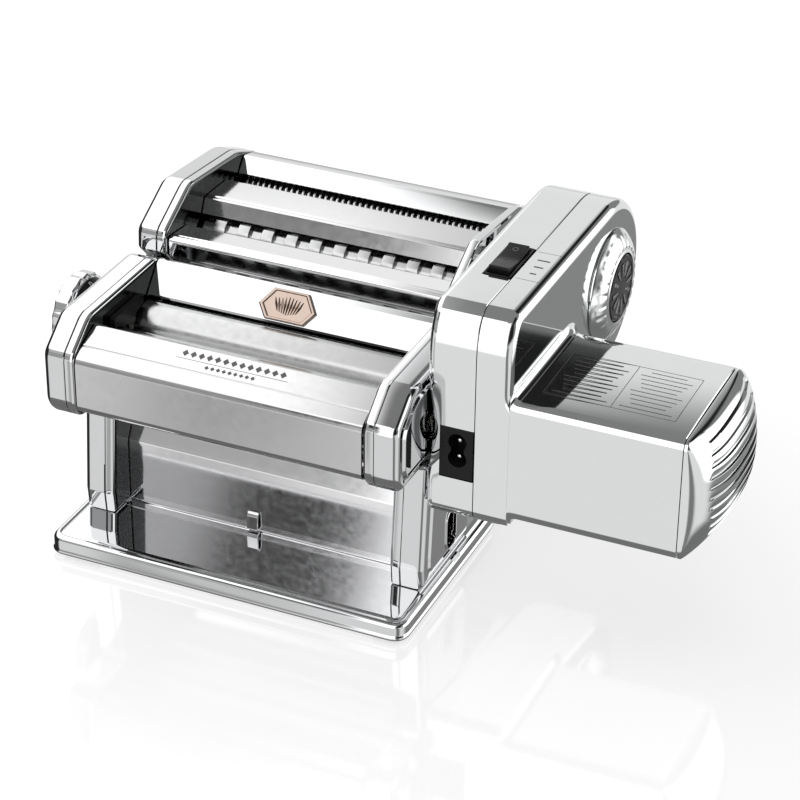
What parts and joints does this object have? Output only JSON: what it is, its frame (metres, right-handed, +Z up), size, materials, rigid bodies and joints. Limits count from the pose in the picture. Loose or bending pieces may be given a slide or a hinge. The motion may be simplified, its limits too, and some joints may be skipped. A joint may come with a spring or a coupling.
{
  "type": "pasta roller machine",
  "caption": "Chromed pasta roller with smooth rollers set by a dial, a lift-off cutter attachment for wide and fine strips, and a plug-in electric drive on its side.",
  "frame": {"origin": "middle of the whole object's footprint, on the surface under its feet", "axes": "+X along the rollers towards the drive's motor, +Y from the front of the base to the back, +Z up"},
  "size_m": [0.3492, 0.2044, 0.1721],
  "materials": {
    "chrome_sheet": "polished chrome-plated pressed steel",
    "brushed_sheet": "bright steel sheet with a fine grain along its length",
    "roller_metal": "turned and anodised, satin",
    "plain_steel": "plain zinc-plated steel",
    "drive_shell": "metallised plastic moulding, satin silver",
    "bright_trim": "chrome-plated plastic",
    "black_plastic": "satin black",
    "nylon": "natural nylon",
    "foot_rubber": "matt black rubber"
  },
  "bodies": {
    "frame": {"base_plate": "chrome_sheet", "foot_front_left": "foot_rubber", "foot_front_right": "foot_rubber", "foot_rear_left": "foot_rubber", "foot_rear_right": "foot_rubber", "side_frame_left": "plain_steel", "side_frame_right": "plain_steel", "side_cover_left": "chrome_sheet", "side_cover_right": "chrome_sheet", "back_panel": "brushed_sheet", "front_hood": "brushed_sheet", "rear_hood": "chrome_sheet", "hood_badge": "chrome_sheet", "front_scraper": "plain_steel", "rear_scraper": "plain_steel", "tie_rod_front": "plain_steel", "tie_rod_rear": "plain_steel", "end_guide_left": "black_plastic", "end_guide_right": "black_plastic", "fixed_bush_left": "nylon", "fixed_bush_right": "nylon"},
    "fixed_roller": {"fixed_roller": "roller_metal", "fixed_roller_gear": "nylon"},
    "gap_carrier": {"gap_bush_left": "nylon", "gap_bush_right": "nylon"},
    "adjustable_roller": {"adjustable_roller": "roller_metal", "adjustable_roller_gear": "nylon"},
    "dial_shaft": {"dial_shaft": "plain_steel", "dial_spring": "plain_steel"},
    "dial_knob": {"dial_knob": "chrome_sheet", "dial_ring": "black_plastic"},
    "cutter_attachment": {"cutter_side_left": "plain_steel", "cutter_side_right": "plain_steel", "cutter_cover_left": "chrome_sheet", "cutter_cover_right": "chrome_sheet", "cutter_front_cover": "chrome_sheet", "cutter_middle_cover": "brushed_sheet", "cutter_rear_cover": "chrome_sheet", "wide_stripper": "plain_steel", "fine_stripper": "plain_steel"},
    "wide_cutter_front": {"wide_cutter_front": "roller_metal", "wide_gear_front": "nylon"},
    "wide_cutter_rear": {"wide_cutter_rear": "roller_metal", "wide_gear_rear": "nylon"},
    "fine_cutter_front": {"fine_cutter_front": "roller_metal", "fine_gear_front": "nylon"},
    "fine_cutter_rear": {"fine_cutter_rear": "roller_metal", "fine_gear_rear": "nylon"},
    "drive_unit": {"drive_inner_housing": "drive_shell", "drive_outer_housing": "drive_shell", "motor_end_cap": "bright_trim", "badge_ring": "bright_trim", "badge_disc": "black_plastic", "switch_bezel": "black_plastic", "mains_inlet": "black_plastic", "motor": "plain_steel"},
    "switch_rocker": {"switch_rocker": "black_plastic"},
    "motor_shaft": {"motor_shaft": "plain_steel"},
    "reduction_gear": {"reduction_gear": "nylon"},
    "output_shaft": {"output_shaft": "plain_steel"}
  },
  "joints": [
    {"name": "fixed_roller_spin", "type": "hinge", "parent": "frame", "child": "fixed_roller", "pos_m": [-0.061, -0.06672, 0.1018], "axis": [1, 0, 0], "continuous": true},
    {"name": "gap_slide", "type": "slide", "parent": "frame", "child": "gap_carrier", "axis": [0, -1, 0], "range_m": [0, 0.0042]},
    {"name": "adjustable_roller_spin", "type": "hinge", "parent": "gap_carrier", "child": "adjustable_roller", "pos_m": [-0.061, -0.03512, 0.1018], "axis": [1, 0, 0], "continuous": true},
    {"name": "dial_turn", "type": "hinge", "parent": "frame", "child": "dial_shaft", "pos_m": [-0.156, -0.03732, 0.1018], "axis": [-1, 0, 0], "range_deg": [0, 180]},
    {"name": "dial_pull", "type": "slide", "parent": "dial_shaft", "child": "dial_knob", "axis": [-1, 0, 0], "range_m": [0, 0.0035], "stiffness_N_per_m": 1200},
    {"name": "cutter_lift", "type": "slide", "parent": "frame", "child": "cutter_attachment", "axis": [0, 0, 1], "range_m": [0, 0.04]},
    {"name": "wide_front_spin", "type": "hinge", "parent": "cutter_attachment", "child": "wide_cutter_front", "pos_m": [-0.061, 0.01168, 0.1223], "axis": [1, 0, 0], "continuous": true},
    {"name": "wide_rear_spin", "type": "hinge", "parent": "cutter_attachment", "child": "wide_cutter_rear", "pos_m": [-0.061, 0.03468, 0.1223], "axis": [1, 0, 0], "continuous": true},
    {"name": "fine_front_spin", "type": "hinge", "parent": "cutter_attachment", "child": "fine_cutter_front", "pos_m": [-0.061, 0.05768, 0.1264], "axis": [1, 0, 0], "continuous": true},
    {"name": "fine_rear_spin", "type": "hinge", "parent": "cutter_attachment", "child": "fine_cutter_rear", "pos_m": [-0.061, 0.08068, 0.1264], "axis": [1, 0, 0], "continuous": true},
    {"name": "drive_pull", "type": "slide", "parent": "cutter_attachment", "child": "drive_unit", "axis": [1, 0, 0], "range_m": [0, 0.03]},
    {"name": "switch_rock", "type": "hinge", "parent": "drive_unit", "child": "switch_rocker", "pos_m": [0.0498, -0.01672, 0.1638], "axis": [1, 0, 0], "range_deg": [-9, 9]},
    {"name": "motor_spin", "type": "hinge", "parent": "drive_unit", "child": "motor_shaft", "pos_m": [-0.061, -0.02622, 0.1003], "axis": [1, 0, 0], "continuous": true},
    {"name": "reduction_spin", "type": "hinge", "parent": "drive_unit", "child": "reduction_gear", "pos_m": [-0.061, 0.01287, 0.11246], "axis": [1, 0, 0], "continuous": true},
    {"name": "output_spin", "type": "hinge", "parent": "drive_unit", "child": "output_shaft", "pos_m": [-0.061, 0.05768, 0.1264], "axis": [1, 0, 0], "continuous": true}
  ],
  "couplings": [
    {"joint": "adjustable_roller_spin", "follows": "fixed_roller_spin", "ratio": -1},
    {"joint": "gap_slide", "follows": "dial_turn", "m_per_rad": 0.00133},
    {"joint": "wide_rear_spin", "follows": "wide_front_spin", "ratio": -1},
    {"joint": "reduction_spin", "follows": "output_spin", "ratio": -4.2222},
    {"joint": "motor_spin", "follows": "output_spin", "ratio": 20.508},
    {"joint": "fine_front_spin", "follows": "output_spin", "ratio": 1},
    {"joint": "fine_rear_spin", "follows": "output_spin", "ratio": -1}
  ]
}
